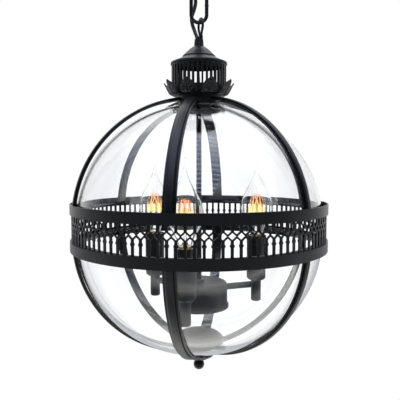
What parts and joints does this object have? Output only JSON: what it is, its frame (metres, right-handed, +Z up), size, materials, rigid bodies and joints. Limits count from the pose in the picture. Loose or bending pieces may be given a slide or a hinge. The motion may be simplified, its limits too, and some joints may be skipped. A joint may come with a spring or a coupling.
{
  "type": "pendant lamp",
  "caption": "Chain-hung pendant lamp: a clear glass globe held in a ribbed black metal cage with a pierced band, candle bulbs inside, a leaf-trimmed crown and a ball finial.",
  "frame": {"origin": "centre of the crossbar's upper face, on the ceiling plane", "axes": "+Z up, towards the ceiling; +X to the right and -Y to the front, as the picture shows the lamp"},
  "size_m": [0.266, 0.266, 0.5104],
  "materials": {
    "black_metal": "satin black",
    "plated_steel": "zinc plated",
    "white_plastic": "matt",
    "black_rubber": "matt",
    "clear_glass": "clear",
    "black_sleeve": "satin black",
    "bulb_glass": "clear",
    "bulb_brass": "satin"
  },
  "bodies": {
    "mounting": {"ceiling_crossbar": "plated_steel", "crossbar_nipple": "plated_steel", "nipple_locknuts": "plated_steel", "terminal_block": "white_plastic", "canopy": "black_metal", "canopy_loop": "black_metal", "cord_bushing": "black_rubber", "cord_1": "black_rubber"},
    "collar_ring": {"screw_collar": "black_metal"},
    "link_3": {"chain_link_3": "black_metal", "cord_2": "black_rubber"},
    "link_2": {"chain_link_2": "black_metal", "cord_3": "black_rubber"},
    "link_1": {"chain_link_1": "black_metal", "cord_4": "black_rubber"},
    "lamp": {"top_eye": "black_metal", "crown_neck": "black_metal", "crown_cap": "black_metal", "crown_grille": "black_metal", "crown_base": "black_metal", "leaf_coronet": "black_metal", "crown_collar": "black_metal", "crown_plate": "black_metal", "hex_nuts": "plated_steel", "centre_stem": "black_metal", "upper_glass": "clear_glass", "lower_glass": "clear_glass", "upper_ribs": "black_metal", "lower_ribs": "black_metal", "upper_band": "black_metal", "lower_band": "black_metal", "upper_ledge": "black_metal", "lower_ledge": "black_metal", "gallery": "black_metal", "band_screws": "black_metal", "rib_hub_ring": "black_metal", "hub_body": "black_metal", "hub_lid": "black_metal", "hub_base": "black_metal", "hub_block": "white_plastic", "lead_wires": "black_rubber", "arm_1": "black_metal", "arm_2": "black_metal", "arm_3": "black_metal", "candle_cup_1": "black_metal", "candle_cup_2": "black_metal", "candle_cup_3": "black_metal", "candle_sleeves": "black_sleeve", "lampholders": "white_plastic", "bottom_cap": "black_metal", "clamp_rod": "black_metal", "finial_dish": "black_metal"},
    "bulb_1": {"bulb_glass_1": "bulb_glass", "bulb_base_1": "bulb_brass"},
    "bulb_2": {"bulb_glass_2": "bulb_glass", "bulb_base_2": "bulb_brass"},
    "bulb_3": {"bulb_glass_3": "bulb_glass", "bulb_base_3": "bulb_brass"},
    "finial": {"ball_finial": "black_metal"}
  },
  "joints": [
    {"name": "collar_unscrew", "type": "hinge", "parent": "mounting", "child": "collar_ring", "pos_m": [0, 0, -0.028], "axis": [0, 0, 1], "range_deg": [0, 720]},
    {"name": "link_3_swing", "type": "hinge", "parent": "mounting", "child": "link_3", "pos_m": [0, 0, -0.0527], "axis": [0, 1, 0], "range_deg": [-30, 30], "deforming": ["cord_1"]},
    {"name": "link_2_swing", "type": "hinge", "parent": "link_3", "child": "link_2", "pos_m": [0, 0, -0.0828], "axis": [1, 0, 0], "range_deg": [-30, 30], "deforming": ["cord_2"]},
    {"name": "link_1_swing", "type": "hinge", "parent": "link_2", "child": "link_1", "pos_m": [0, 0, -0.1129], "axis": [0, 1, 0], "range_deg": [-30, 30], "deforming": ["cord_3"]},
    {"name": "lamp_swing", "type": "hinge", "parent": "link_1", "child": "lamp", "pos_m": [0, 0, -0.143], "axis": [1, 0, 0], "range_deg": [-30, 30], "deforming": ["cord_4"]},
    {"name": "bulb_1_unscrew", "type": "hinge", "parent": "lamp", "child": "bulb_1", "pos_m": [-0.01288, -0.06626, -0.37], "axis": [0, 0, 1], "range_deg": [0, 900]},
    {"name": "bulb_2_unscrew", "type": "hinge", "parent": "lamp", "child": "bulb_2", "pos_m": [0.06382, 0.02198, -0.37], "axis": [0, 0, 1], "range_deg": [0, 900]},
    {"name": "bulb_3_unscrew", "type": "hinge", "parent": "lamp", "child": "bulb_3", "pos_m": [-0.05094, 0.04428, -0.37], "axis": [0, 0, 1], "range_deg": [0, 900]},
    {"name": "finial_unscrew", "type": "hinge", "parent": "lamp", "child": "finial", "pos_m": [0, 0, -0.504], "axis": [0, 0, 1], "range_deg": [0, 1440]}
  ]
}
